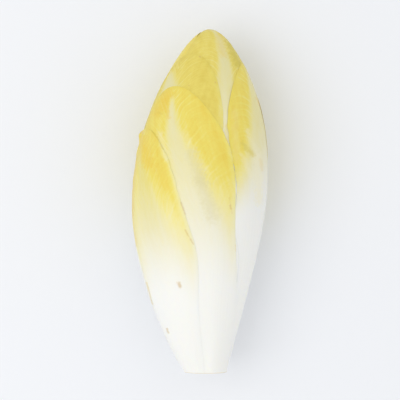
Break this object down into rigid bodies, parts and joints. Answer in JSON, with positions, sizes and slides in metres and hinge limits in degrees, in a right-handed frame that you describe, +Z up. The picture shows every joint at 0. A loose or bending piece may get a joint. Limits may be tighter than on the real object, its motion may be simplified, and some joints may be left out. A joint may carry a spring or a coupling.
{
  "type": "belgian endive",
  "caption": "Cut head of Belgian endive lying on its side: pale nested leaves with white ribs and yellow edges round a tight heart and stem.",
  "frame": {"origin": "on the surface that the head lies on, under the middle of its bounding box", "axes": "+Y along the head towards its tip, +X to the right as seen from above with the tip up, +Z up"},
  "size_m": [0.0562, 0.1401, 0.0479],
  "materials": {
    "outer_leaf": "satin",
    "upper_leaf": "satin",
    "inner_leaf": "satin",
    "heart": "satin",
    "stem": "matte"
  },
  "bodies": {
    "root": {"leaf_01_left_outer": "outer_leaf", "leaf_02_underside": "outer_leaf", "leaf_03_front": "outer_leaf", "leaf_04_right": "outer_leaf", "leaf_05_back_left": "outer_leaf", "leaf_06_upper_left": "upper_leaf", "leaf_07_back_right": "upper_leaf", "leaf_08_tip": "upper_leaf", "leaf_09_inner_left": "inner_leaf", "leaf_10_inner_right": "inner_leaf", "leaf_11_inner_front": "inner_leaf", "leaf_12_inner_back": "inner_leaf", "leaf_13_heart_front": "inner_leaf", "leaf_14_heart_back": "inner_leaf", "heart": "heart", "stem": "stem"}
  },
  "joints": []
}
